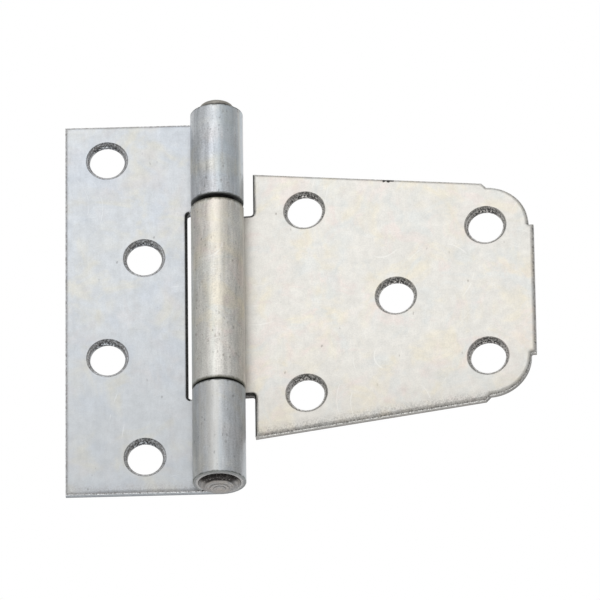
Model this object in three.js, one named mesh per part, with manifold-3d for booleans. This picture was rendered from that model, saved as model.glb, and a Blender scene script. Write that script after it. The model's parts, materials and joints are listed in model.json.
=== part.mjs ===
// A zinc-plated steel gate hinge, open almost flat. Millimetres, +Z up along the pin.
//
// The jamb leaf is a plain rectangle that screws to the post. Two knuckles at its edge are
// curled forward from the same sheet. The gate leaf is a tapered plate that screws to the
// gate, and its one long knuckle fills the slot between the other two. The pin passes
// through all three and is riveted over below the bottom knuckle.
//
// Origin: the back face of the jamb leaf, at mid-height, midway between its screw columns.
// +X runs from the post to the gate, +Y into the post, and the knuckles stand towards -Y.

import * as THREE from "three";
import { mergeVertices } from "three/addons/utils/BufferGeometryUtils.js";
import Module from "manifold-3d";

const wasm = await Module();
wasm.setup();

// Sheet and barrel
const sheetThickness = 1.9;
const barrelRadius = 5.75;
const boreRadius = barrelRadius - sheetThickness;
const lipGap = 0.3; // between the end of the curl and the plate it closes on
const arcSegments = 72;

// Pin
const pinRadius = 3.75;
const headStraight = 1.6; // straight part of the pin above the top knuckle
const headCrown = 1.3; // rise of its rounded end
const crownSteps = 8;
const rivetRadius = 4.1;
const rivetDrop = 0.7; // from the knuckle's end down to the rivet's edge
const shoulderRadius = 2.55;
const shoulderDrop = 1.25;
const nibRadius = 1.35;
const nibDrop = 1.5;
const countersinkRadius = 4.6;
const countersinkDepth = 0.75;
const pinSegments = 64;

// Jamb leaf, with x measured from the pin's axis away from the gate
const leafHeight = 88.9;
const jambWidth = 33.2;
const slotTop = 22.55;
const slotBottom = -22.35;
const slotReach = 6.7;
const slotCornerRadius = 1.5;
const jambHoleOuter = 24.1;
const jambHoleInner = 16.1;
const jambHolePitch = 24;

// Gate leaf, with x measured from the pin's axis towards the gate
const gateWidth = 68.3;
const neckHalfHeight = 21.85;
const bodyStart = 7.35;
const bodyHalfHeight = 31.85; // where the body starts
const taperEnd = 57.2;
const taperEndHalfHeight = 26.2;
const cornerHole = { x: 57.9, z: 15.8 };
const cornerRadius = 9.3; // the rounded corners share their centre with the corner holes
const edgeHalfHeight = 15.5; // of the straight far edge
const nearHole = { x: 18.55, z: 22.1 };
const middleHoleX = 38.2;
const gateDrop = 0.2; // the long knuckle sits low in its end play

// Screw holes, wider at the front face
const holeFrontRadius = 4.6;
const holeRadius = 3.8;
const holeTaperDepth = 0.65;
const holeSegments = 48;

const restAngle = 4.5; // how far the gate leaf stands forward of flat, in degrees
const cutterMargin = 1; // how far a cutter runs past the faces it cuts

function material(color, roughness, metalness) {
  return new THREE.MeshStandardMaterial({ color, roughness, metalness });
}

function toSolid(geometry) {
  const bare = geometry.clone();
  bare.deleteAttribute("normal");
  bare.deleteAttribute("uv");
  const merged = mergeVertices(bare, 1e-4);
  return new wasm.Manifold(
    new wasm.Mesh({
      numProp: 3,
      vertProperties: merged.attributes.position.array,
      triVerts: new Uint32Array(merged.index.array),
    }),
  );
}

function toMesh(name, solid, finish) {
  const { numProp, numVert, vertProperties, triVerts } = solid.getMesh();
  const position = new Float32Array(numVert * 3);
  for (let i = 0; i < numVert; i++) {
    position.set(vertProperties.subarray(i * numProp, i * numProp + 3), i * 3);
  }
  const geometry = new THREE.BufferGeometry();
  geometry.setAttribute("position", new THREE.BufferAttribute(position, 3));
  geometry.setIndex(new THREE.BufferAttribute(triVerts, 1));
  const flat = geometry.toNonIndexed();
  flat.computeVertexNormals();
  const mesh = new THREE.Mesh(flat, finish);
  mesh.name = name;
  return mesh;
}

// The leaf seen from above: a flat plate whose back is tangent to the barrel, curled
// forward round the bore until its lip meets the plate's front. side is -1 for a plate
// that runs towards -X and 1 for one that runs towards +X.
function leafSection(side, plateReach) {
  const tangent = Math.PI / 2;
  const lipFromPlate = Math.asin((boreRadius - lipGap) / barrelRadius);
  const lip = tangent + side * (1.5 * Math.PI + lipFromPlate);
  const section = new THREE.Shape();
  section.moveTo(side * plateReach, barrelRadius);
  section.lineTo(0, barrelRadius);
  section.absarc(0, 0, barrelRadius, tangent, lip, side < 0);
  section.lineTo(boreRadius * Math.cos(lip), boreRadius * Math.sin(lip));
  section.absarc(0, 0, boreRadius, lip, tangent, side > 0);
  section.lineTo(side * plateReach, boreRadius);
  section.closePath();
  return section;
}

function extrudeUp(section, bottom, top) {
  const geometry = new THREE.ExtrudeGeometry(section, {
    depth: top - bottom,
    curveSegments: arcSegments,
    bevelEnabled: false,
  });
  geometry.translate(0, 0, bottom);
  return toSolid(geometry);
}

// An outline drawn in x and z becomes a block that runs through the leaf from front to back.
function extrudeThrough(outline, segments) {
  const reach = barrelRadius + cutterMargin;
  const geometry = new THREE.ExtrudeGeometry(outline, {
    depth: 2 * reach,
    curveSegments: segments,
    bevelEnabled: false,
  });
  geometry.rotateX(Math.PI / 2);
  geometry.translate(0, reach, 0);
  return toSolid(geometry);
}

function screwHole(x, z) {
  const profile = [
    new THREE.Vector2(0, boreRadius - cutterMargin),
    new THREE.Vector2(holeFrontRadius, boreRadius - cutterMargin),
    new THREE.Vector2(holeFrontRadius, boreRadius),
    new THREE.Vector2(holeRadius, boreRadius + holeTaperDepth),
    new THREE.Vector2(holeRadius, barrelRadius + cutterMargin),
    new THREE.Vector2(0, barrelRadius + cutterMargin),
  ];
  const geometry = new THREE.LatheGeometry(profile, holeSegments);
  geometry.translate(x, 0, z);
  return toSolid(geometry);
}

function drill(solid, places) {
  return places.reduce((left, [x, z]) => left.subtract(screwHole(x, z)), solid);
}

function makeJambLeaf() {
  const halfHeight = leafHeight / 2;
  const sheet = extrudeUp(leafSection(-1, jambWidth), -halfHeight, halfHeight);

  const slot = new THREE.Shape();
  const past = barrelRadius + cutterMargin;
  const arcX = slotCornerRadius - slotReach;
  slot.moveTo(past, slotBottom);
  slot.lineTo(past, slotTop);
  slot.absarc(arcX, slotTop - slotCornerRadius, slotCornerRadius, Math.PI / 2, Math.PI);
  slot.absarc(arcX, slotBottom + slotCornerRadius, slotCornerRadius, Math.PI, 1.5 * Math.PI);
  slot.closePath();

  // The bottom knuckle's mouth is opened out for the rivet.
  const mouth = new THREE.LatheGeometry(
    [
      new THREE.Vector2(0, -cutterMargin),
      new THREE.Vector2(countersinkRadius, -cutterMargin),
      new THREE.Vector2(countersinkRadius, 0),
      new THREE.Vector2(boreRadius, countersinkDepth),
      new THREE.Vector2(0, countersinkDepth),
    ],
    pinSegments,
  );
  mouth.rotateX(Math.PI / 2);
  mouth.translate(0, 0, -halfHeight);

  const blank = sheet.subtract(extrudeThrough(slot, 8)).subtract(toSolid(mouth));
  const columns = [-jambHoleInner, -jambHoleOuter];
  const rows = [-1.5, -0.5, 0.5, 1.5];
  return drill(
    blank,
    rows.map((row, i) => [columns[i % 2], row * jambHolePitch]),
  );
}

function makeGateLeaf() {
  const { x, z } = cornerHole;
  const outline = new THREE.Shape();
  outline.moveTo(-barrelRadius - cutterMargin, -neckHalfHeight);
  outline.lineTo(bodyStart, -neckHalfHeight);
  outline.lineTo(bodyStart, -bodyHalfHeight);
  outline.lineTo(taperEnd, -taperEndHalfHeight);
  outline.absarc(x, -z, cornerRadius, -Math.PI / 2, 0);
  outline.lineTo(gateWidth, -edgeHalfHeight);
  outline.lineTo(gateWidth, edgeHalfHeight);
  outline.absarc(x, z, cornerRadius, 0, Math.PI / 2);
  outline.lineTo(taperEnd, taperEndHalfHeight);
  outline.lineTo(bodyStart, bodyHalfHeight);
  outline.lineTo(bodyStart, neckHalfHeight);
  outline.lineTo(-barrelRadius - cutterMargin, neckHalfHeight);
  outline.closePath();

  const sheet = extrudeUp(leafSection(1, gateWidth), -bodyHalfHeight, bodyHalfHeight);
  return drill(sheet.intersect(extrudeThrough(outline, 12)), [
    [nearHole.x, nearHole.z],
    [nearHole.x, -nearHole.z],
    [middleHoleX, 0],
    [x, z],
    [x, -z],
  ]);
}

function makePin() {
  const top = leafHeight / 2;
  const profile = [
    new THREE.Vector2(0, -top - nibDrop),
    new THREE.Vector2(nibRadius, -top - nibDrop),
    new THREE.Vector2(shoulderRadius, -top - shoulderDrop),
    new THREE.Vector2(rivetRadius, -top - rivetDrop),
    new THREE.Vector2(rivetRadius, -top),
    new THREE.Vector2(pinRadius, countersinkDepth - top),
  ];
  for (let i = 0; i < crownSteps; i++) {
    const angle = (i / crownSteps) * (Math.PI / 2);
    const height = top + headStraight + headCrown * Math.sin(angle);
    profile.push(new THREE.Vector2(pinRadius * Math.cos(angle), height));
  }
  profile.push(new THREE.Vector2(0, top + headStraight + headCrown));
  const geometry = new THREE.LatheGeometry(profile, pinSegments);
  geometry.rotateX(Math.PI / 2);
  return toSolid(geometry);
}

const zinc = material(0xc6cbd0, 0.42, 0.85);
const warmZinc = material(0xd2cfc8, 0.42, 0.85);
const bareSteel = material(0x8d8883, 0.55, 0.8);

const hinge = new THREE.Group();
const barrel = new THREE.Group();
barrel.position.set((jambHoleOuter + jambHoleInner) / 2, -barrelRadius, 0);
hinge.add(barrel);
barrel.add(toMesh("jamb_leaf", makeJambLeaf(), zinc));
barrel.add(toMesh("hinge_pin", makePin(), bareSteel));

const gateSwing = new THREE.Group();
gateSwing.rotation.z = -THREE.MathUtils.degToRad(restAngle);
gateSwing.position.z = -gateDrop;
gateSwing.add(toMesh("gate_leaf", makeGateLeaf(), warmZinc));
barrel.add(gateSwing);

export default hinge;
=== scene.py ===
import json
import math

import bpy
from mathutils import Matrix, Vector


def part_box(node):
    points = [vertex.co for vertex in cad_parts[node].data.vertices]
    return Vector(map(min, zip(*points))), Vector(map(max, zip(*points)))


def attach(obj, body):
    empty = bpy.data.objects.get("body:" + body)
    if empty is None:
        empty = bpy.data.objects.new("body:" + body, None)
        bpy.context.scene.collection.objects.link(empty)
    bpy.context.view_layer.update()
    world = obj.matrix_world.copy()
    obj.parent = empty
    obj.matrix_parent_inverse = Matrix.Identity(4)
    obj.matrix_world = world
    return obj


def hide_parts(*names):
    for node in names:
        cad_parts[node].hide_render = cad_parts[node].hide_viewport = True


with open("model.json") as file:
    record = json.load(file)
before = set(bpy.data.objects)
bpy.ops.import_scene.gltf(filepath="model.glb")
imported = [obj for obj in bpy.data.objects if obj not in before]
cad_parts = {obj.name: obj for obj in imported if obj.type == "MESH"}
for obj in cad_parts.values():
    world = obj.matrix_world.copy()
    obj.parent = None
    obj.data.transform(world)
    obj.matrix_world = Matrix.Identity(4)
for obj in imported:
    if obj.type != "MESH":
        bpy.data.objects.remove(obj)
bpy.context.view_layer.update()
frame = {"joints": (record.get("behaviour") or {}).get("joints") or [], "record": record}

# Places and sizes from the frame, in metres. The leaves are made about the pin's axis.
record = frame["record"]
pinLine = Vector(frame["joints"][0]["pos_m"])
jambLow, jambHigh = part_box("jamb_leaf")
pinLow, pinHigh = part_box("hinge_pin")
gateNormal = next(m["axis"] for m in record["mounts"] if m["name"] == "gate_back")
restTurn = math.atan2(gateNormal[0], gateNormal[1])  # the gate leaf stands this far forward
barrelRadius = (jambHigh[1] - jambLow[1]) / 2 - 0.000002  # a hair inside the frame's own
leafTop = jambHigh[2]

sheet = {
    "thickness": 0.0019,
    "rollWidth": 0.0009,  # the press drags the front face down along every cut edge
    "rollSteps": 6,
    "rollPower": 2.3,
    "burrBevel": 0.0002,  # the tumbled edge at the back
    # radius and depth below the front face, down through a screw hole
    "hole": [(0.00462, 0), (0.00457, 0.00005), (0.0042, 0.00035), (0.00392, 0.0006), (0.0038, 0.00078)],
    "holeSides": 96,
    "mouth": (0.0006, 0.00078),  # along and across the chamfer inside a knuckle's end
    "curlCuts": 96,
    "lipGap": 0.00012,
    "tornAround": 0.06,  # how torn a screw hole is at its sides, where 1 is fully
    "backFrom": 0.0016,  # below the front face, where the eased back edge starts
    "tearFrom": 0.0012,  # below the front face, where the sheared band ends and the torn one starts
}
boreRadius = barrelRadius - sheet["thickness"]
neutralRadius = (barrelRadius + boreRadius) / 2
curlAngle = 1.5 * math.pi + math.asin((boreRadius - sheet["lipGap"]) / barrelRadius)
curlLength = curlAngle * neutralRadius


# helpers used by every piece

def pickNothing():
    if bpy.context.mode != "OBJECT":
        bpy.ops.object.mode_set(mode="OBJECT")
    bpy.ops.object.select_all(action="DESELECT")


def pick(piece):
    pickNothing()
    piece.select_set(True)
    bpy.context.view_layer.objects.active = piece


def markFaces(piece, test):  # leaves the faces that pass the test selected, in edit mode
    pick(piece)
    bpy.ops.object.mode_set(mode="EDIT")
    bpy.ops.mesh.select_mode(type="FACE")
    bpy.ops.mesh.select_all(action="DESELECT")
    bpy.ops.object.mode_set(mode="OBJECT")
    for face in piece.data.polygons:
        face.select = test(face)
    bpy.ops.object.mode_set(mode="EDIT")


def markEdges(piece, test):
    pick(piece)
    bpy.ops.object.mode_set(mode="EDIT")
    bpy.ops.mesh.select_mode(type="EDGE")
    bpy.ops.mesh.select_all(action="DESELECT")
    bpy.ops.object.mode_set(mode="OBJECT")
    points = piece.data.vertices
    for edge in piece.data.edges:
        edge.select = test(points[edge.vertices[0]].co, points[edge.vertices[1]].co)
    bpy.ops.object.mode_set(mode="EDIT")


def applyPlace(piece):
    pick(piece)
    bpy.ops.object.transform_apply(location=True, rotation=True, scale=True)


def box(name, low, high):
    size = [high[i] - low[i] for i in range(3)]
    middle = [(high[i] + low[i]) / 2 for i in range(3)]
    pickNothing()
    bpy.ops.mesh.primitive_cube_add(size=1, location=middle, scale=size)
    piece = bpy.context.object
    piece.name = name
    applyPlace(piece)
    return piece


def cutAway(piece, cutters):
    for cutter in cutters:
        pick(piece)
        cut = piece.modifiers.new("cut", "BOOLEAN")
        cut.operation = "DIFFERENCE"
        cut.solver = "EXACT"
        cut.object = cutter
        bpy.ops.object.modifier_apply(modifier=cut.name)
        bpy.data.objects.remove(cutter, do_unlink=True)


def divide(piece, x):  # a cut line straight up the piece
    pick(piece)
    bpy.ops.object.mode_set(mode="EDIT")
    bpy.ops.mesh.select_all(action="SELECT")
    bpy.ops.mesh.bisect(plane_co=(x, 0, 0), plane_no=(1, 0, 0))
    bpy.ops.object.mode_set(mode="OBJECT")


def weld(piece, distance):
    pick(piece)
    bpy.ops.object.mode_set(mode="EDIT")
    bpy.ops.mesh.select_all(action="SELECT")
    bpy.ops.mesh.remove_doubles(threshold=distance)
    bpy.ops.object.mode_set(mode="OBJECT")


def turn(name, rings, sides):  # a solid turned about Z from rings of radius and height
    radius, height = rings[0]
    pickNothing()
    bpy.ops.mesh.primitive_circle_add(
        vertices=sides, radius=radius, fill_type="NGON", location=(0, 0, height),
    )
    piece = bpy.context.object
    piece.name = name
    applyPlace(piece)
    bpy.ops.object.mode_set(mode="EDIT")
    bpy.ops.mesh.select_mode(type="FACE")
    bpy.ops.mesh.select_all(action="SELECT")
    for newRadius, newHeight in rings[1:]:
        bpy.ops.mesh.extrude_region_move(TRANSFORM_OT_translate={"value": (0, 0, newHeight - height)})
        scale = newRadius / radius
        bpy.ops.transform.resize(value=(scale, scale, 1), center_override=(0, 0, newHeight))
        radius, height = newRadius, newHeight
    bpy.ops.mesh.select_all(action="SELECT")
    bpy.ops.mesh.normals_make_consistent(inside=False)
    bpy.ops.object.mode_set(mode="OBJECT")
    return piece


def punch(x, z, rings, sides):  # a round punch through the sheet, its large end at the front
    tool = turn("punch", rings, sides)
    tool.rotation_euler = (-math.pi / 2, math.pi / sides, 0)  # no corner of it on a cut line
    tool.location = (x, 0, z)
    applyPlace(tool)
    return tool


def trim(piece, point, outward):  # takes off what lies outside a plane and closes the cut
    pick(piece)
    bpy.ops.object.mode_set(mode="EDIT")
    bpy.ops.mesh.select_all(action="SELECT")
    outward = Vector(outward).normalized()
    bpy.ops.mesh.bisect(plane_co=point, plane_no=outward, use_fill=True, clear_outer=True)
    bpy.ops.object.mode_set(mode="OBJECT")


def filletCorners(piece, x, z, radius):  # rounds the edges that run through the sheet there
    near = 0.0008

    def isCorner(a, b):
        through = (a - b).cross(Vector((0, 1, 0))).length < 1e-6
        return through and abs(-a.x - x) < near and abs(abs(a.z) - z) < near

    markEdges(piece, isCorner)
    bpy.ops.mesh.bevel(offset=radius, segments=6, affect="EDGES")
    bpy.ops.object.mode_set(mode="OBJECT")


# helpers for the materials' nodes

def addNode(tree, kind, inputs=None, **settings):
    node = tree.nodes.new(kind)
    for name, value in settings.items():
        setattr(node, name, value)
    for name, value in (inputs or {}).items():
        if isinstance(value, bpy.types.NodeSocket):
            tree.links.new(value, node.inputs[name])
        else:
            node.inputs[name].default_value = value
    return node


def maths(tree, operation, a, b=0.0):
    node = addNode(tree, "ShaderNodeMath", {0: a, 1: b}, operation=operation)
    return node.outputs[0]


def times(tree, a, b):
    return maths(tree, "MULTIPLY", a, b)


def plus(tree, a, b):
    return maths(tree, "ADD", a, b)


def minus(tree, a, b):
    return maths(tree, "SUBTRACT", a, b)


def vectorMaths(tree, operation, a, b, result="Vector"):
    node = addNode(tree, "ShaderNodeVectorMath", {0: a, 1: b}, operation=operation)
    return node.outputs[result]


def scaled(tree, vector, by):
    node = addNode(tree, "ShaderNodeVectorMath", {0: vector, "Scale": by}, operation="SCALE")
    return node.outputs[0]


def split(tree, vector):
    return addNode(tree, "ShaderNodeSeparateXYZ", {0: vector}).outputs


def grey(tree, value):
    return addNode(tree, "ShaderNodeCombineColor", {0: value, 1: value, 2: value}).outputs[0]


def ramp(tree, value, low, high, toLow=0.0, toHigh=1.0):  # a soft step between two values
    node = addNode(
        tree, "ShaderNodeMapRange",
        {"Value": value, "From Min": low, "From Max": high, "To Min": toLow, "To Max": toHigh},
        interpolation_type="SMOOTHSTEP",
    )
    return node.outputs["Result"]


def mixColours(tree, amount, a, b, blend="MIX"):
    node = addNode(tree, "ShaderNodeMix", {0: amount, 6: a, 7: b}, data_type="RGBA", blend_type=blend)
    return node.outputs[2]


def tinted(tree, amount, colour, paint):
    return mixColours(tree, amount, colour, (*paint, 1))


def cloud(tree, place, scale, detail=2.0, roughness=0.5, distortion=0.0):
    node = addNode(
        tree, "ShaderNodeTexNoise",
        {
            "Vector": place, "Scale": scale, "Detail": detail,
            "Roughness": roughness, "Distortion": distortion,
        },
    )
    return node.outputs["Fac"]


def placed(tree, place, scale=(1, 1, 1), shift=(0, 0, 0)):
    node = addNode(
        tree, "ShaderNodeMapping",
        {"Vector": place, "Location": shift, "Scale": scale},
    )
    return node.outputs[0]


def newGroup(name, inputs, outputs):
    group = bpy.data.node_groups.new(name, "ShaderNodeTree")
    kinds = {"vector": "NodeSocketVector", "colour": "NodeSocketColor", "value": "NodeSocketFloat"}
    for title, kind in inputs:
        group.interface.new_socket(name=title, in_out="INPUT", socket_type=kinds[kind])
    for title, kind in outputs:
        group.interface.new_socket(name=title, in_out="OUTPUT", socket_type=kinds[kind])
    given = group.nodes.new("NodeGroupInput").outputs
    result = group.nodes.new("NodeGroupOutput").inputs
    return group, given, result


def useGroup(tree, group, inputs):
    return addNode(tree, "ShaderNodeGroup", inputs, node_tree=group).outputs


def makeFilmGroup():  # the thin passivated film on zinc, which shades to straw, rose and blue
    group, given, result = newGroup(
        "passivatedFilm",
        [
            ("Place", "vector"), ("Metal", "colour"), ("Straw", "colour"), ("Rose", "colour"),
            ("Blue", "colour"), ("Patch Size", "value"), ("Film", "value"), ("Cloudiness", "value"),
        ],
        [("Colour", "colour")],
    )
    scale = maths(group, "DIVIDE", 1.0, given["Patch Size"])
    colour = given["Metal"]
    for tint, shift, finer, low in (
        ("Straw", (0, 0, 0), 1.0, 0.47), ("Rose", (0.31, 0.17, 0.73), 1.35, 0.49),
        ("Blue", (0.83, 0.41, 0.22), 1.15, 0.48),
    ):
        elsewhere = placed(group, given["Place"], shift=shift)
        patch = cloud(group, elsewhere, times(group, scale, finer), 3, 0.6, 0.8)
        amount = times(group, ramp(group, patch, low, low + 0.2), given["Film"])
        colour = mixColours(group, amount, colour, given[tint])
    fine = cloud(group, given["Place"], times(group, scale, 5.0), 8, 0.7)
    low = minus(group, 1.0, given["Cloudiness"])
    high = plus(group, 1.0, given["Cloudiness"])
    shade = addNode(
        group, "ShaderNodeMapRange",
        {"Value": fine, "From Min": 0.3, "From Max": 0.7, "To Min": low, "To Max": high},
    ).outputs["Result"]
    colour = mixColours(group, 1.0, colour, grey(group, shade), "MULTIPLY")
    group.links.new(colour, result["Colour"])
    return group


def makeGrainGroup():  # fine rolling lines up the sheet, with a finer speckle between them
    group, given, result = newGroup(
        "rolledGrain",
        [
            ("Place", "vector"), ("Line Width", "value"), ("Line Length", "value"),
            ("Speck Size", "value"),
        ],
        [("Streaks", "value"), ("Speckle", "value"), ("Height", "value")],
    )
    across = maths(group, "DIVIDE", 1.0, given["Line Width"])
    along = maths(group, "DIVIDE", 1.0, given["Line Length"])
    scales = addNode(group, "ShaderNodeCombineXYZ", {0: across, 1: across, 2: along}).outputs[0]
    streaks = cloud(group, vectorMaths(group, "MULTIPLY", given["Place"], scales), 1.0, 4, 0.65, 0.2)
    speckle = cloud(group, given["Place"], maths(group, "DIVIDE", 1.0, given["Speck Size"]), 3, 0.7)
    both = plus(group, times(group, streaks, 0.6), times(group, speckle, 0.4))
    group.links.new(streaks, result["Streaks"])
    group.links.new(speckle, result["Speckle"])
    group.links.new(both, result["Height"])
    return group


def makeScratchGroup():  # thin curved handling scratches, in patches
    group, given, result = newGroup(
        "handlingScratches",
        [("Place", "vector"), ("Spacing", "value"), ("Width", "value"), ("Spread", "value")],
        [("Mask", "value")],
    )
    scale = maths(group, "DIVIDE", 1.0, given["Spacing"])
    # rings round scattered points, pushed out of shape, and shown in patches only
    wander = addNode(
        group, "ShaderNodeTexNoise",
        {"Vector": given["Place"], "Scale": times(group, scale, 0.45), "Detail": 1.0},
    ).outputs["Color"]
    push = vectorMaths(group, "SUBTRACT", wander, (0.5, 0.5, 0.5))
    push = scaled(group, push, times(group, given["Spacing"], 1.2))
    warped = vectorMaths(group, "ADD", given["Place"], push)
    cells = addNode(group, "ShaderNodeTexVoronoi", {"Vector": warped, "Scale": scale})
    width = maths(group, "DIVIDE", given["Width"], given["Spacing"])
    line = 0.0
    for radius in (0.22, 0.37, 0.5):
        off = maths(group, "ABSOLUTE", minus(group, cells.outputs["Distance"], radius))
        line = maths(group, "MAXIMUM", line, minus(group, 1.0, ramp(group, off, 0.0, width)))
    elsewhere = placed(group, given["Place"], shift=(0.4, 0.9, 0.1))
    patch = cloud(group, elsewhere, times(group, scale, 4.0), 3, 0.6)
    start = minus(group, 0.62, given["Spread"])
    shown = ramp(group, patch, start, plus(group, start, 0.09))
    group.links.new(times(group, line, shown), result["Mask"])
    return group


def makePitGroup():  # small pits and specks where the plating missed
    group, given, result = newGroup(
        "platingPits",
        [("Place", "vector"), ("Spacing", "value"), ("Size", "value"), ("Share", "value")],
        [("Mask", "value")],
    )
    scale = maths(group, "DIVIDE", 1.0, given["Spacing"])
    drawn = placed(group, given["Place"], scale=(1, 1, 0.45))  # they are longer along the grain
    cells = addNode(group, "ShaderNodeTexVoronoi", {"Vector": drawn, "Scale": scale})
    size = maths(group, "DIVIDE", given["Size"], given["Spacing"])
    inside = ramp(group, cells.outputs["Distance"], times(group, size, 0.4), size)
    dot = minus(group, 1.0, inside)
    lot = addNode(group, "ShaderNodeSeparateColor", {0: cells.outputs["Color"]}).outputs[0]
    chosen = maths(group, "LESS_THAN", lot, given["Share"])
    gathered = ramp(group, cloud(group, drawn, times(group, scale, 0.22), 2), 0.45, 0.6)
    group.links.new(times(group, times(group, dot, chosen), gathered), result["Mask"])
    return group


def makeCutEdgeGroup():  # what a press leaves: a drawn-down front edge darkened with painted shade, a bright crest that is a painted highlight, and a torn band
    group, given, result = newGroup(
        "cutEdge",
        [
            ("Place", "vector"), ("Wall", "value"), ("Front", "value"), ("Roll Depth", "value"),
            ("Tear From", "value"), ("Back From", "value"),
        ],
        [
            ("Rolled", "value"), ("Roll Shade", "value"), ("Crest", "value"), ("Torn", "value"),
            ("Crumbs", "value"),
        ],
    )
    below = minus(group, split(group, given["Place"])["Y"], given["Front"])
    edge = given["Roll Depth"]
    notBack = ramp(group, below, plus(group, given["Back From"], 0.0002), given["Back From"])
    rolled = times(group, ramp(group, below, 0.00001, edge), notBack)
    # painted shade over the drawn-down part of the front edge
    darkened = times(group, ramp(group, below, 0.000005, times(group, edge, 0.6)), notBack)
    crumbs = cloud(group, placed(group, given["Place"], scale=(1, 0.6, 1)), 3000, 5, 0.75)
    ragged = cloud(group, placed(group, given["Place"], scale=(900, 300, 900)), 1.0, 4, 0.7)
    wander = times(group, minus(group, ragged, 0.5), 0.0007)
    # the crest's painted highlight follows the foot of the drawn-down part, broken where the crumbs are
    # dark
    off = minus(group, plus(group, below, times(group, wander, 0.35)), edge)
    nearCrest = maths(group, "ABSOLUTE", off)
    crest = minus(group, 1.0, ramp(group, nearCrest, 0.00005, 0.00016))
    crest = times(group, crest, ramp(group, crumbs, 0.4, 0.56))
    start = given["Tear From"]
    torn = ramp(group, plus(group, below, wander), start, plus(group, start, 0.00012))
    group.links.new(rolled, result["Rolled"])
    group.links.new(darkened, result["Roll Shade"])
    group.links.new(crest, result["Crest"])
    group.links.new(times(group, torn, given["Wall"]), result["Torn"])
    group.links.new(crumbs, result["Crumbs"])
    return group


film = makeFilmGroup()
rolledGrain = makeGrainGroup()
scratches = makeScratchGroup()
pits = makePitGroup()
cutEdge = makeCutEdgeGroup()


# what the two leaves' finishes share
zinc = {
    "metallic": 0.92,
    "lineWidth": 0.0007,
    "lineLength": 0.006,
    "speckSize": 0.00032,
    "stainStretch": (330, 330, 16),  # narrow across the sheet and long up it
    "rootShadeSpan": (-0.0085, -0.001),  # along the sheet, where it starts and is full
    "scratchSpacing": 0.026,
    "scratchWidth": 0.00015,
    "scratchStrength": 0.5,
    "pitSpacing": 0.0008,
    "pitSize": 0.00023,
    "pitScatter": 0.0007,
    "pitStrength": 0.5,
    "endRagged": 0.0012,
    "endStrength": 0.85,
    "lowEdgeDark": (0.0032, 0.0004),  # above the low edge, where it starts and is full
    "shearedFlat": 0.88,
    "shearedCurl": 0.25,
}


def readSheet(tree):  # the leaf's own attributes, read once for all that follows
    place = addNode(tree, "ShaderNodeAttribute", attribute_name="sheetPlace").outputs["Vector"]
    kind = addNode(tree, "ShaderNodeAttribute", attribute_name="edgeKind").outputs["Vector"]
    axes, kind = split(tree, place), split(tree, kind)
    curled = ramp(tree, axes["X"], -0.001, 0.002)
    return {
        "place": place, "along": axes["X"], "up": axes["Z"],
        "curled": curled, "flat": minus(tree, 1.0, curled),
        "hole": kind["X"], "wall": kind["Y"], "shaded": kind["Z"],
    }


def onEach(tree, at, flat, curled):  # one value on the plate and another on the knuckles
    return ramp(tree, at["curled"], 0.0, 1.0, flat, curled)


def zincBase(tree, at, grain, finish):
    colour = useGroup(tree, film, {
        "Place": at["place"], "Metal": (*finish["metal"], 1), "Straw": (*finish["straw"], 1),
        "Rose": (*finish["rose"], 1), "Blue": (*finish["blue"], 1), "Patch Size": finish["patch"],
        "Film": finish["film"], "Cloudiness": finish["cloudiness"],
    })["Colour"]
    # the curl drew the sheet, so its lines stand out more there
    pull = onEach(tree, at, finish["grainFlat"], finish["grainCurl"])
    lines = times(tree, minus(tree, grain["Streaks"], 0.5), pull)
    pull = onEach(tree, at, finish["speckle"], finish["speckleCurl"])
    specks = times(tree, minus(tree, grain["Speckle"], 0.5), pull)
    shade = plus(tree, 1.0, plus(tree, lines, specks))
    return mixColours(tree, 1.0, colour, grey(tree, shade), "MULTIPLY")


def addStains(tree, at, colour, finish):
    # long faint stains up the knuckles, warm ones and cool ones
    for tint, shift in (("warmStain", (0, 0, 0)), ("coolStain", (0.37, 0.11, 0.71))):
        stretched = placed(tree, at["place"], scale=zinc["stainStretch"], shift=shift)
        stain = ramp(tree, cloud(tree, stretched, 1.0, 3, 0.6), 0.48, 0.66)
        stained = times(tree, stain, times(tree, at["curled"], finish["stain"]))
        colour = tinted(tree, stained, colour, finish[tint])
    # the sheet is darker towards its lower end
    lowerDark = onEach(tree, at, finish["lowerDarkFlat"], finish["lowerDarkCurl"])
    lowerDark = times(tree, ramp(tree, at["up"], *finish["lowerDarkSpan"]), lowerDark)
    colour = tinted(tree, lowerDark, colour, finish["lowerDarkColour"])
    # painted shade at the root of the knuckles, where the barrel blocks the light
    nearRoot = times(tree, ramp(tree, at["along"], *zinc["rootShadeSpan"]), at["flat"])
    return tinted(tree, times(tree, nearRoot, finish["rootShadeStrength"]), colour, finish["rootShadeColour"])


def findScratches(tree, at, finish):
    return useGroup(tree, scratches, {
        "Place": at["place"], "Spacing": zinc["scratchSpacing"], "Width": zinc["scratchWidth"],
        "Spread": finish["scratches"],
    })["Mask"]


def findPits(tree, at, finish):
    share = onEach(tree, at, finish["pitsFlat"], finish["pitsCurl"])
    loose = addNode(
        tree, "ShaderNodeTexNoise", {"Vector": at["place"], "Scale": 900.0, "Detail": 2.0},
    ).outputs["Color"]
    scattered = vectorMaths(tree, "ADD", at["place"], scaled(tree, loose, zinc["pitScatter"]))
    return useGroup(tree, pits, {
        "Place": scattered, "Spacing": zinc["pitSpacing"], "Size": zinc["pitSize"], "Share": share,
    })["Mask"]


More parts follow.
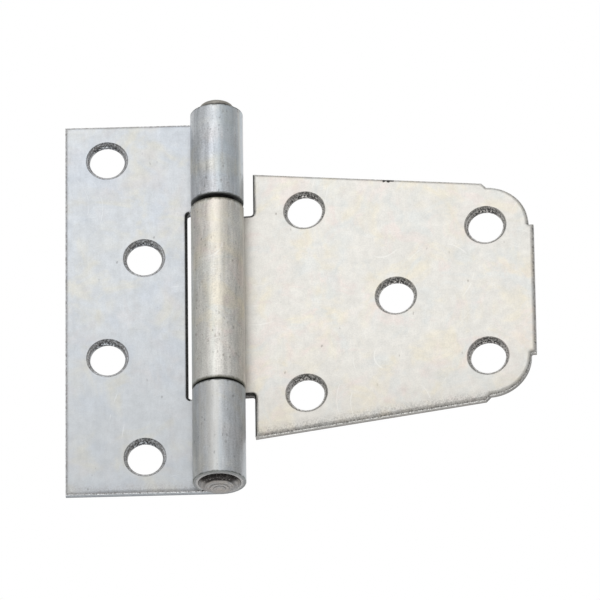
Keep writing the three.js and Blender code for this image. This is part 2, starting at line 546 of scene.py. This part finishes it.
def addEndShade(tree, at, colour, finish, knuckleEnds):
    # painted shade in the gaps along the knuckles' ends
    nearEnd = 0.0
    ragged = cloud(tree, placed(tree, at["place"], scale=(1, 1, 0.6)), 1100, 4, 0.7)
    ragged = times(tree, minus(tree, ragged, 0.5), zinc["endRagged"])
    for end in knuckleEnds:
        off = plus(tree, maths(tree, "ABSOLUTE", minus(tree, at["up"], end)), ragged)
        nearEnd = maths(tree, "MAXIMUM", nearEnd, ramp(tree, off, finish["endShadeReach"], 0.0001))
    nearEnd = times(tree, nearEnd, times(tree, at["curled"], zinc["endStrength"]))
    return tinted(tree, nearEnd, colour, finish["endShadeColour"])


def addCutEdges(tree, at, colour, finish, edge, lowEdge):
    crumbs = edge["Crumbs"]
    darkCrumbs = ramp(tree, crumbs, 0.58, 0.38)
    # the plate is darker just above its lower edge too
    heightUp = vectorMaths(tree, "DOT_PRODUCT", at["place"], lowEdge[:3], "Value")
    start, full = zinc["lowEdgeDark"]
    nearLow = ramp(tree, minus(tree, lowEdge[3], heightUp), start, full, 0.0, finish["lowEdgeDark"])
    nearLow = times(tree, nearLow, at["flat"])
    nearLow = times(tree, nearLow, ramp(tree, darkCrumbs, 0.0, 1.0, 0.1, 1.0))
    # painted shade on the drawn-down front edge, broken by the crumbs, joined by the darker band above
    # the lower edge
    darkened = times(tree, edge["Roll Shade"], ramp(tree, darkCrumbs, 0.0, 1.0, 0.25, 0.95))
    darkened = maths(tree, "MAXIMUM", darkened, nearLow)
    colour = tinted(tree, darkened, colour, finish["darkEdgeColour"])
    sheared = times(tree, at["wall"], onEach(tree, at, zinc["shearedFlat"], zinc["shearedCurl"]))
    colour = tinted(tree, sheared, colour, finish["shearedColour"])
    colour = tinted(tree, times(tree, edge["Torn"], darkCrumbs), colour, finish["tornColour"])
    # the crest's painted highlight
    colour = tinted(tree, times(tree, edge["Crest"], 0.9), colour, finish["crestHighlightColour"])
    # painted shade on the edges that face into gaps, and in the dents
    dim = times(tree, at["shaded"], ramp(tree, crumbs, 0.3, 0.7, 1.0, 0.88))
    dim = times(tree, dim, ramp(tree, edge["Roll Shade"], 0.0, 0.15))
    colour = tinted(tree, dim, colour, finish["shadedColour"])
    # the holes were punched dull: drawn metal torn into dark and bright crumbs, laid on most where the
    # wall looks down as painted shade
    dark, bright = (*finish["holeDark"], 1), (*finish["holeBright"], 1)
    speckled = mixColours(tree, ramp(tree, crumbs, 0.5, 0.59), dark, bright)
    return mixColours(tree, at["hole"], colour, speckled)


def zincRoughness(tree, at, grain, edge, finish):
    dullness = times(tree, minus(tree, grain["Speckle"], 0.5), 0.2)
    rough = plus(tree, onEach(tree, at, finish["roughFlat"], finish["roughCurl"]), dullness)
    rough = plus(tree, rough, times(tree, edge["Torn"], 0.2))
    return minus(tree, rough, times(tree, edge["Crest"], 0.15))


def zincHeight(tree, at, grain, edge, dots, marks):
    height = times(tree, grain["Height"], 0.5)
    height = minus(tree, height, times(tree, dots, 0.8))
    height = minus(tree, height, times(tree, marks, 0.3))
    broken = maths(tree, "MAXIMUM", edge["Torn"], at["hole"])
    broken = maths(tree, "MAXIMUM", broken, times(tree, edge["Rolled"], 0.6))
    return plus(tree, height, times(tree, times(tree, edge["Crumbs"], broken), 3.0))


def makeZinc(name, finish, rollDepth, lowEdge, knuckleEnds):
    material = bpy.data.materials.new(name)
    material.use_nodes = True
    tree = material.node_tree
    shader = tree.nodes["Principled BSDF"]
    at = readSheet(tree)
    grain = useGroup(tree, rolledGrain, {
        "Place": at["place"], "Line Width": zinc["lineWidth"], "Line Length": zinc["lineLength"],
        "Speck Size": zinc["speckSize"],
    })
    edge = useGroup(tree, cutEdge, {
        "Place": at["place"], "Wall": at["wall"], "Front": -sheet["thickness"] / 2,
        "Roll Depth": rollDepth, "Tear From": sheet["tearFrom"], "Back From": sheet["backFrom"],
    })
    marks = findScratches(tree, at, finish)
    dots = findPits(tree, at, finish)

    colour = zincBase(tree, at, grain, finish)
    colour = addStains(tree, at, colour, finish)
    marked = times(tree, marks, zinc["scratchStrength"])
    colour = tinted(tree, marked, colour, finish["scratchColour"])
    colour = tinted(tree, times(tree, dots, zinc["pitStrength"]), colour, finish["pitColour"])
    colour = addEndShade(tree, at, colour, finish, knuckleEnds)
    colour = addCutEdges(tree, at, colour, finish, edge, lowEdge)
    rough = zincRoughness(tree, at, grain, edge, finish)
    height = zincHeight(tree, at, grain, edge, dots, marks)
    bump = addNode(tree, "ShaderNodeBump", {"Height": height, "Distance": finish["bump"]})

    tree.links.new(colour, shader.inputs["Base Color"])
    tree.links.new(rough, shader.inputs["Roughness"])
    tree.links.new(bump.outputs[0], shader.inputs["Normal"])
    shader.inputs["Metallic"].default_value = zinc["metallic"]
    return material


def makePinSteel(name, finish):
    material = bpy.data.materials.new(name)
    material.use_nodes = True
    tree = material.node_tree
    shader = tree.nodes["Principled BSDF"]
    place = addNode(tree, "ShaderNodeTexCoord").outputs["Object"]
    place = placed(tree, place, shift=(-pinLine.x, -pinLine.y, 0))
    axes = split(tree, place)
    colour = useGroup(tree, film, {
        "Place": place, "Metal": (*finish["metal"], 1), "Straw": (*finish["straw"], 1),
        "Rose": (*finish["rose"], 1), "Blue": (*finish["blue"], 1), "Patch Size": finish["patch"],
        "Film": finish["film"], "Cloudiness": finish["cloudiness"],
    })["Colour"]

    # turned rings about the pin's line, a little uneven
    flat = vectorMaths(tree, "MULTIPLY", place, (1, 1, 0))
    reach = vectorMaths(tree, "LENGTH", flat, (0, 0, 0), "Value")
    reach = plus(tree, reach, times(tree, cloud(tree, place, 500.0), 0.00018))
    rings = maths(tree, "SINE", times(tree, reach, finish["ringsPerMetre"] * 2 * math.pi))
    dark = ramp(tree, rings, -0.2, 1.0, 0.0, 0.35)
    colour = tinted(tree, dark, colour, finish["ringColour"])
    # the rounded head kept more of its shine
    head = ramp(tree, axes["Z"], 0.0, 0.01, 0.0, 0.6)
    colour = tinted(tree, head, colour, finish["headColour"])

    # painted shade in the groove at the rivet's front, broken by painted glints, and painted shade
    # round the head's foot at the knuckle's end
    low = finish["pinShadeFrom"]
    groove = times(tree, ramp(tree, reach, low, low + 0.0003), ramp(tree, axes["Y"], -0.0012, -0.0026))
    groove = times(tree, groove, ramp(tree, axes["Z"], -leafTop + 0.002, -leafTop + 0.0005))
    glints = ramp(tree, cloud(tree, place, 3200.0, 3, 0.7), 0.56, 0.66, 0.97, 0.0)
    colour = tinted(tree, times(tree, groove, glints), colour, finish["pinShadeColour"])
    headShadeTop = leafTop + finish["headShadeHeight"]
    ragged = plus(tree, axes["Z"], times(tree, cloud(tree, place, 900.0, 3), 0.0006))
    foot = ramp(tree, ragged, headShadeTop + 0.0004, headShadeTop)
    foot = times(tree, foot, ramp(tree, axes["Z"], 0.0, 0.01))
    colour = tinted(tree, times(tree, foot, 0.85), colour, finish["pinShadeColour"])
    holes = useGroup(tree, pits, {
        "Place": place, "Spacing": 0.0009, "Size": 0.00022, "Share": finish["pits"],
    })["Mask"]
    colour = tinted(tree, times(tree, holes, 0.6), colour, finish["pitColour"])

    mottle = cloud(tree, place, 2600.0, 4, 0.7)
    smooth = finish["roughness"]
    rough = ramp(tree, mottle, 0.3, 0.7, smooth - 0.08, smooth + 0.12)
    height = plus(tree, times(tree, rings, 0.25), mottle)
    bump = addNode(tree, "ShaderNodeBump", {"Height": height, "Distance": finish["bump"]})
    tree.links.new(colour, shader.inputs["Base Color"])
    tree.links.new(rough, shader.inputs["Roughness"])
    tree.links.new(bump.outputs[0], shader.inputs["Normal"])
    shader.inputs["Metallic"].default_value = finish["metallic"]
    return material


# the leaves: a flat blank, punched, then curled

def flatBlank(name, width, height, rollDepth):
    back = sheet["thickness"] / 2
    front = -back + rollDepth
    return box(name, (-width, front, -height / 2), (curlLength, back, height / 2))


def rollFrontEdge(blank, rollDepth):
    # The front face is raised inside its outline in steps, steep at the edge and level at the end.
    front = -sheet["thickness"] / 2 + rollDepth
    markFaces(blank, lambda face: face.normal.y < -0.9 and abs(face.center.y - front) < 1e-6)
    steps = sheet["rollSteps"]
    inward, raised = 0, 0
    for step in range(1, steps + 1):
        part = 1 - math.cos(step / steps * math.pi / 2)
        newInward = sheet["rollWidth"] * part
        newRaised = rollDepth * (1 - (1 - part) ** sheet["rollPower"])
        bpy.ops.mesh.inset(
            thickness=newInward - inward, depth=newRaised - raised,
            use_boundary=True, use_even_offset=True,
        )
        inward, raised = newInward, newRaised
    bpy.ops.object.mode_set(mode="OBJECT")


def punchHoles(blank, holes):
    front = -sheet["thickness"] / 2
    past = 0.001
    (widest, top), (narrowest, low) = sheet["hole"][0], sheet["hole"][-1]
    rings = [(widest, front - past)] + [(radius, front + depth) for radius, depth in sheet["hole"]]
    rings.append((narrowest, -front + past))
    for x in sorted({round(x, 5) for x, z in holes}):
        divide(blank, x)  # so that no face is left with a whole hole inside it
    cutAway(blank, [punch(x, z, rings, sheet["holeSides"]) for x, z in holes])


def mouthTools(ends, side):  # wedges that open a knuckle's bore at its ends
    front = -sheet["thickness"] / 2
    along, across = sheet["mouth"]
    past = 0.001
    tools = []
    for end in ends:
        way = side if end > 0 else -side
        low, high = sorted((end - way * along, end + way * past))
        wedge = box("wedge", (0.0002, front - past, low), (curlLength + past, front + across, high))
        trim(wedge, (0, front, end - way * along), (0, along, -way * across))
        tools.append(wedge)
    return tools


def easeBackEdge(blank):
    back = sheet["thickness"] / 2
    markFaces(blank, lambda face: face.normal.y > 0.9 and abs(face.center.y - back) < 1e-6)
    bpy.ops.mesh.region_to_loop()
    bpy.ops.mesh.bevel(offset=sheet["burrBevel"], segments=2, affect="EDGES", clamp_overlap=True)
    bpy.ops.object.mode_set(mode="OBJECT")


def keepSheetPlace(blank, holes, down, isShaded):
    # Where each point lay in the flat sheet, so that the grain follows the sheet round the curl,
    # and what each face is: torn in a screw hole, most where it looks down as painted shade, a cut
    # wall, an edge in painted shade.
    place = blank.data.attributes.new("sheetPlace", "FLOAT_VECTOR", "POINT")
    for point in blank.data.vertices:
        place.data[point.index].vector = point.co
    kind = blank.data.attributes.new("edgeKind", "FLOAT_VECTOR", "FACE")
    reach = sheet["hole"][0][0] + 0.0001
    back = sheet["thickness"] / 2 - sheet["burrBevel"]
    front = -sheet["thickness"] / 2 + 0.00001
    for face in blank.data.polygons:
        x, y, z = face.center
        inHole = any(math.hypot(x - middleX, z - middleZ) < reach for middleX, middleZ in holes)
        isWall = abs(face.normal.y) < 0.35
        isEdge = y > front and y < back
        looksDown = max(0, face.normal.z * down)
        # where a hole's wall looks down, the dark crumbs are laid on more, as painted shade
        torn = min(1, sheet["tornAround"] + 1.6 * looksDown ** 2) if inHole and isEdge else 0
        cut = 0 if inHole else 1
        kind.data[face.index].vector = (torn, isWall * cut, isEdge and isShaded(face))


def curl(blank, width):
    for cut in range(sheet["curlCuts"]):
        divide(blank, curlLength * cut / sheet["curlCuts"])
    bend = blank.modifiers.new("curl", "SIMPLE_DEFORM")
    bend.deform_method = "BEND"
    bend.deform_axis = "Z"
    bend.angle = -curlAngle
    bend.limits = (width / (width + curlLength), 1)
    bpy.ops.object.modifier_apply(modifier=bend.name)


def finishLeaf(leaf):
    pick(leaf)
    bpy.ops.object.mode_set(mode="EDIT")
    bpy.ops.mesh.select_all(action="SELECT")
    bpy.ops.mesh.remove_doubles(threshold=1e-7)
    bpy.ops.mesh.normals_make_consistent(inside=False)
    bpy.ops.object.mode_set(mode="OBJECT")
    bpy.ops.object.shade_smooth_by_angle(angle=math.radians(35))
    weigh = leaf.modifiers.new("weigh", "WEIGHTED_NORMAL")
    weigh.keep_sharp = True
    bpy.ops.object.modifier_apply(modifier=weigh.name)


def screwHoles(start, toLeaf):  # the hole centres that the frame names, in the leaf's own flat
    places = []
    for opening in record["physics"]["openings"]:
        if opening["name"].startswith(start):
            low, high = opening["box_m"]
            middle = (Vector(low) + Vector(high)) / 2
            places.append(toLeaf(middle - pinLine))
    return places


jambLeaf = {
    "width": pinLine.x - jambLow[0],
    "height": leafTop * 2,
    "slot": (-0.02235, 0.02255),
    "slotReach": 0.0067,
    "slotCorner": 0.0006,
    "rollDepth": 0.0003,
    "finish": {
        "metal": (0.595, 0.62, 0.645),
        "straw": (0.66, 0.64, 0.56),
        "rose": (0.61, 0.60, 0.61),
        "blue": (0.55, 0.59, 0.645),
        "patch": 0.011,
        "film": 0.6,
        "cloudiness": 0.10,
        "grainFlat": 0.16,
        "grainCurl": 0.95,
        "speckle": 0.42,
        "speckleCurl": 1.15,
        "stain": 0.45,
        "warmStain": (0.72, 0.69, 0.62),
        "coolStain": (0.50, 0.58, 0.63),
        "lowerDarkSpan": (0.012, -0.042),  # up the sheet, from untouched to fully darkened
        "lowerDarkFlat": 0.34,
        "lowerDarkCurl": 0.3,
        "lowerDarkColour": (0.37, 0.385, 0.395),
        "endShadeReach": 0.0005,
        "endShadeColour": (0.12, 0.13, 0.12),
        "rootShadeStrength": 0.15,
        "rootShadeColour": (0.40, 0.41, 0.41),
        "scratches": 0.04,
        "scratchColour": (0.78, 0.80, 0.82),
        "pitsFlat": 0.03,
        "pitsCurl": 0.7,
        "pitColour": (0.22, 0.22, 0.22),
        "darkEdgeColour": (0.28, 0.26, 0.25),
        "shearedColour": (0.17, 0.185, 0.20),
        "lowEdgeDark": 0.45,
        "tornColour": (0.20, 0.21, 0.22),
        "crestHighlightColour": (0.95, 0.96, 0.98),
        "shadedColour": (0.03, 0.03, 0.03),
        "holeDark": (0.02, 0.02, 0.022),
        "holeBright": (0.50, 0.53, 0.56),
        "roughFlat": 0.42,
        "roughCurl": 0.42,
        "bump": 0.00003,
    },
}


def makeJambLeaf():
    spec = jambLeaf
    blank = flatBlank("jambLeaf", spec["width"], spec["height"], spec["rollDepth"])
    past = 0.002
    depth = sheet["thickness"]
    slot = box(
        "slot",
        (-spec["slotReach"], -depth, spec["slot"][0]),
        (curlLength + past, depth, spec["slot"][1]),
    )
    markEdges(slot, lambda a, b: a.x < 0 and b.x < 0 and abs(a.z - b.z) < 1e-6)
    bpy.ops.mesh.bevel(offset=spec["slotCorner"], segments=8, affect="EDGES")
    bpy.ops.object.mode_set(mode="OBJECT")
    holes = screwHoles("jamb_screw_hole", lambda p: (p.x, p.z))
    cutAway(blank, [slot])
    weld(blank, 0.00006)
    rollFrontEdge(blank, spec["rollDepth"])
    punchHoles(blank, holes)
    cutAway(blank, mouthTools((leafTop, -leafTop), 1))
    easeBackEdge(blank)

    # painted shade on the slot's side wall, which faces the centre knuckle
    def isShaded(face):
        inSlot = face.center.x > -spec["slotReach"] - sheet["rollWidth"]
        return inSlot and face.normal.x > 0.04

    keepSheetPlace(blank, holes, -1, isShaded)
    curl(blank, spec["width"])
    blank.location = (pinLine.x, pinLine.y + neutralRadius, 0)
    applyPlace(blank)
    finishLeaf(blank)
    return blank


gateLeaf = {
    "width": 0.0683,
    "height": 0.0637,
    "neck": 0.02178,
    "bodyStart": 0.00735,
    "taperEnd": (0.0572, 0.0262),
    "trimRadius": 0.0093,
    "edgeHalf": 0.0155,
    "edgeStart": 0.0674,
    "neckFillet": 0.0007,
    "nick": ((0.0360, 0.0281, 0.00032), (0.0370, 0.0280, 0.00038)),  # place and radius of its dents
    "nickDepth": 0.0005,
    "shadeReach": 0.00025,
    "rollDepth": 0.00048,
    "drop": 0.0002,
    "finish": {
        "metal": (0.715, 0.70, 0.66),
        "straw": (0.76, 0.71, 0.59),
        "rose": (0.745, 0.67, 0.635),
        "blue": (0.675, 0.69, 0.675),
        "patch": 0.009,
        "film": 0.7,
        "cloudiness": 0.09,
        "grainFlat": 0.10,
        "grainCurl": 0.85,
        "speckle": 0.38,
        "speckleCurl": 1.0,
        "stain": 0.42,
        "warmStain": (0.74, 0.69, 0.58),
        "coolStain": (0.62, 0.66, 0.62),
        "lowerDarkSpan": (0.008, 0.032),
        "lowerDarkFlat": 0.2,
        "lowerDarkCurl": 0.0,
        "lowerDarkColour": (0.42, 0.38, 0.33),
        "endShadeReach": 0.0008,
        "endShadeColour": (0.10, 0.10, 0.07),
        "rootShadeStrength": 0.5,
        "rootShadeColour": (0.45, 0.40, 0.35),
        "scratches": 0.09,
        "scratchColour": (0.88, 0.87, 0.84),
        "pitsFlat": 0.03,
        "pitsCurl": 0.7,
        "pitColour": (0.26, 0.23, 0.19),
        "darkEdgeColour": (0.15, 0.145, 0.14),
        "shearedColour": (0.19, 0.185, 0.175),
        "lowEdgeDark": 0.5,
        "tornColour": (0.20, 0.19, 0.185),
        "crestHighlightColour": (0.97, 0.96, 0.94),
        "shadedColour": (0.03, 0.028, 0.025),
        "holeDark": (0.02, 0.019, 0.018),
        "holeBright": (0.52, 0.50, 0.48),
        "roughFlat": 0.42,
        "roughCurl": 0.40,
        "bump": 0.00003,
    },
}


def gateToFlat(place):  # the flat leaf is made lying the other way round
    turned = Matrix.Rotation(restTurn, 3, "Z") @ place
    return -turned.x, -turned.z - gateLeaf["drop"]


def gateLowEdge():  # the slanted lower edge, as its outward way and its place, in the flat sheet
    endX, endZ = gateLeaf["taperEnd"]
    out = Vector((endZ - gateLeaf["height"] / 2, 0, endX - gateLeaf["bodyStart"])).normalized()
    return (*out, out.dot(Vector((-endX, 0, endZ))))


def makeGateLeaf():
    spec = gateLeaf
    deep = sheet["thickness"]
    past = 0.002
    blank = flatBlank("gateLeaf", spec["width"], spec["height"] + past, spec["rollDepth"])
    half = spec["height"] / 2
    endX, endZ = spec["taperEnd"]
    holes = screwHoles("gate_screw_hole", gateToFlat)
    farX = min(x for x, z in holes)
    farZ = max(z for x, z in holes if x < farX + past)
    for side in (-1, 1):
        taper = (endZ - half, 0, side * (endX - spec["bodyStart"]))
        trim(blank, (-spec["bodyStart"], 0, side * half), taper)
    cutters = []
    for side in (-1, 1):
        low, high = sorted((side * spec["neck"], side * spec["height"]))
        cutters.append(box("notch", (-spec["bodyStart"], -deep, low), (curlLength + past, deep, high)))
        low, high = sorted((side * spec["edgeHalf"], side * spec["height"]))
        die = box("die", (-spec["width"] - past, -deep, low), (-endX, deep, high))
        # the die's own corners were worn, so it leaves a slanted step at each end of the round
        slant = (endZ - spec["edgeHalf"], 0, side * (endX - spec["edgeStart"]))
        trim(die, (-endX, 0, side * endZ), slant)
        rounding = [(spec["trimRadius"], -2 * deep), (spec["trimRadius"], 2 * deep)]
        cutAway(die, [punch(farX, side * farZ, rounding, 160)])
        cutters.append(die)
    cutAway(blank, cutters)
    weld(blank, 0.00006)
    filletCorners(blank, spec["bodyStart"], spec["neck"], spec["neckFillet"])
    rollFrontEdge(blank, spec["rollDepth"])
    punchHoles(blank, holes)
    front = -deep / 2
    dents = []
    for x, z, radius in spec["nick"]:  # struck in beside the upper edge from the front
        rings = [(radius * 1.3, front - past), (radius, front + spec["nickDepth"])]
        dents.append(punch(-x, -z, rings, 24))
    cutAway(blank, dents)
    easeBackEdge(blank)

    def isShaded(face):  # painted shade in the dents, and on the edges of the neck and beside it
        middle = face.center
        inDent = any(
            math.hypot(middle.x + x, middle.z + z) < 2 * radius for x, z, radius in spec["nick"]
        )
        return inDent or middle.x > -spec["bodyStart"] - spec["shadeReach"]

    keepSheetPlace(blank, holes, 1, isShaded)
    curl(blank, spec["width"])
    blank.location = (0, neutralRadius, 0)
    applyPlace(blank)
    blank.rotation_euler = (0, math.pi, -restTurn)
    blank.location = (pinLine.x, pinLine.y, -spec["drop"])
    applyPlace(blank)
    finishLeaf(blank)
    return blank


# the pin, turned as rings from the rivet up

pin = {
    "radius": 0.00375,
    "sides": 96,
    # radius and height, in metres from the bottom knuckle's end
    "rivet": [
        (0.00112, -0.0015), (0.00124, -0.00148), (0.00131, -0.00142), (0.00136, -0.00137),
        (0.00192, -0.00136), (0.00204, -0.00132), (0.00211, -0.00125), (0.0022, -0.0012),
        (0.00305, -0.00108), (0.00322, -0.00099), (0.00335, -0.00086), (0.00362, -0.00072),
        (0.00405, -0.00052), (0.00432, -0.00034), (0.00448, -0.00018), (0.00454, -0.00004),
        (0.00447, 0.00008), (0.00436, 0.00018), (0.0039, 0.0005), (0.00375, 0.0007),
    ],
    "headStraight": 0.0015,
    "headCrown": 0.0014,
    "crownRings": 10,
    "finish": {
        "metal": (0.22, 0.21, 0.20),
        "straw": (0.25, 0.225, 0.195),
        "rose": (0.24, 0.21, 0.20),
        "blue": (0.195, 0.205, 0.22),
        "patch": 0.003,
        "film": 0.5,
        "cloudiness": 0.12,
        "ringColour": (0.12, 0.115, 0.11),
        "ringsPerMetre": 1500,
        "pinShadeColour": (0.015, 0.013, 0.012),
        "pinShadeFrom": 0.0032,  # from the pin's line, on the rivet's front
        "headColour": (0.46, 0.44, 0.39),
        "headShadeHeight": 0.0013,  # above the top knuckle's end
        "pits": 0.3,
        "pitColour": (0.04, 0.035, 0.03),
        "roughness": 0.48,
        "metallic": 0.85,
        "bump": 0.00003,
    },
}


def makePin():
    spec = pin
    rings = [(radius, -leafTop + height) for radius, height in spec["rivet"]]
    for ring in range(spec["crownRings"]):
        angle = ring / spec["crownRings"] * math.pi / 2
        height = leafTop + spec["headStraight"] + spec["headCrown"] * math.sin(angle)
        rings.append((spec["radius"] * math.cos(angle), height))
    rings.append((0.0002, pinHigh[2] - 0.00001))
    shaft = turn("hingePin", rings, spec["sides"])
    pick(shaft)
    bpy.ops.object.shade_smooth_by_angle(angle=math.radians(35))
    shaft.location = (pinLine.x, pinLine.y, 0)
    applyPlace(shaft)
    return shaft


jambPiece = makeJambLeaf()
print("jamb leaf made", len(jambPiece.data.polygons), "faces")
gatePiece = makeGateLeaf()
print("gate leaf made", len(gatePiece.data.polygons), "faces")
pinPiece = makePin()
print("pin made", len(pinPiece.data.polygons), "faces")

for piece, node, body, finish in (
    (jambPiece, "jamb_leaf", "jamb", "jamb_zinc"),
    (gatePiece, "gate_leaf", "gate", "gate_zinc"),
    (pinPiece, "hinge_pin", "jamb", "pin_steel"),
):
    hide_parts(node)
    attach(piece, body)


jambPiece.data.materials.append(makeZinc(
    "jambZinc", jambLeaf["finish"], jambLeaf["rollDepth"], (0, 0, -1, leafTop),
    (*jambLeaf["slot"], leafTop, -leafTop),
))
gatePiece.data.materials.append(makeZinc(
    "gateZinc", gateLeaf["finish"], gateLeaf["rollDepth"], gateLowEdge(),
    (gateLeaf["neck"], -gateLeaf["neck"]),
))
pinPiece.data.materials.append(makePinSteel("pinSteel", pin["finish"]))
print("zinc and steel finishes made")

view = {
    "azimuth": 1.6,
    "elevation": -26.9,
    "roll": -0.73,
    "distance": 2.07,
    "lens": 575.6,
    "sensor": 36,
    "aim": (0.0177, -0.0011),  # from the pin's line, along x and z
}


def placeCamera():
    azimuth, elevation = math.radians(view["azimuth"]), math.radians(view["elevation"])
    ahead = Vector((
        -math.sin(azimuth) * math.cos(elevation),
        math.cos(azimuth) * math.cos(elevation),
        -math.sin(elevation),
    ))
    aim = pinLine + Vector((view["aim"][0], 0, view["aim"][1]))
    data = bpy.data.cameras.new("camera")
    data.lens = view["lens"]
    data.sensor_width = view["sensor"]
    data.clip_end = 50
    camera = bpy.data.objects.new("camera", data)
    bpy.context.scene.collection.objects.link(camera)
    roll = Matrix.Rotation(math.radians(view["roll"]), 4, "Z")
    camera.matrix_world = (
        Matrix.Translation(aim - ahead * view["distance"])
        @ ahead.to_track_quat("-Z", "Y").to_matrix().to_4x4()
        @ roll
    )
    bpy.context.scene.camera = camera


placeCamera()

studio = {
    "floorDrop": 2.6,  # the view is from below, so the floor lies well under the camera
    "floorSize": 7,
    "floorColour": (0.82, 0.82, 0.81),
    "brightWay": (-0.2, -0.86, 0.47),  # the room is brightest this way
    "roomDark": 0.36,
    "roomBright": 0.72,
    "roomBehind": 1.0,
    # place from the pin's middle, width, height, watts
    "lights": {
        "keyLight": ((-0.065, -0.42, 0.27), 0.34, 0.36, 0.34),
        "topLight": ((0.3, 0.2, 1.8), 1.2, 1.2, 1.5),
        "bounceLight": ((0.0, 0.9, -1.3), 1.6, 1.6, 13.0),
    },
}


def makeStudio():
    pickNothing()
    bpy.ops.mesh.primitive_plane_add(size=studio["floorSize"], location=(0, 0, -studio["floorDrop"]))
    floor = bpy.context.object
    floor.name = "floor"
    paint = bpy.data.materials.new("palePaper")
    paint.use_nodes = True
    shader = paint.node_tree.nodes["Principled BSDF"]
    shader.inputs["Base Color"].default_value = (*studio["floorColour"], 1)
    shader.inputs["Roughness"].default_value = 0.8
    floor.data.materials.append(paint)
    for name, (place, width, height, watts) in studio["lights"].items():
        data = bpy.data.lights.new(name, "AREA")
        data.shape = "RECTANGLE"
        data.size, data.size_y = width, height
        data.energy = watts
        light = bpy.data.objects.new(name, data)
        bpy.context.scene.collection.objects.link(light)
        away = Vector(place)
        light.location = pinLine + away
        light.rotation_euler = (-away).to_track_quat("-Z", "Y").to_euler()
        light.visible_camera = False


def makeRoom():
    world = bpy.data.worlds.new("paleRoom")
    bpy.context.scene.world = world
    world.use_nodes = True
    tree = world.node_tree
    tree.nodes.clear()
    way = addNode(tree, "ShaderNodeTexCoord").outputs["Generated"]
    bright = Vector(studio["brightWay"]).normalized()
    facing = vectorMaths(tree, "DOT_PRODUCT", way, bright, "Value")
    front = ramp(tree, facing, -0.35, 1.05, studio["roomDark"], studio["roomBright"])
    behind = ramp(tree, split(tree, way)["Y"], 0.0, 0.5, 0.0, studio["roomBehind"])
    room = addNode(tree, "ShaderNodeBackground", {"Strength": maths(tree, "MAXIMUM", front, behind)})
    seen = addNode(tree, "ShaderNodeBackground", {"Color": (1, 1, 1, 1)})
    room.inputs["Color"].default_value = (1, 1, 1, 1)
    path = addNode(tree, "ShaderNodeLightPath").outputs["Is Camera Ray"]
    mix = addNode(tree, "ShaderNodeMixShader", {0: path, 1: room.outputs[0], 2: seen.outputs[0]})
    addNode(tree, "ShaderNodeOutputWorld", {"Surface": mix.outputs[0]})


makeStudio()
makeRoom()
bpy.context.scene.view_settings.view_transform = "Standard"
print("camera, floor and lights placed")
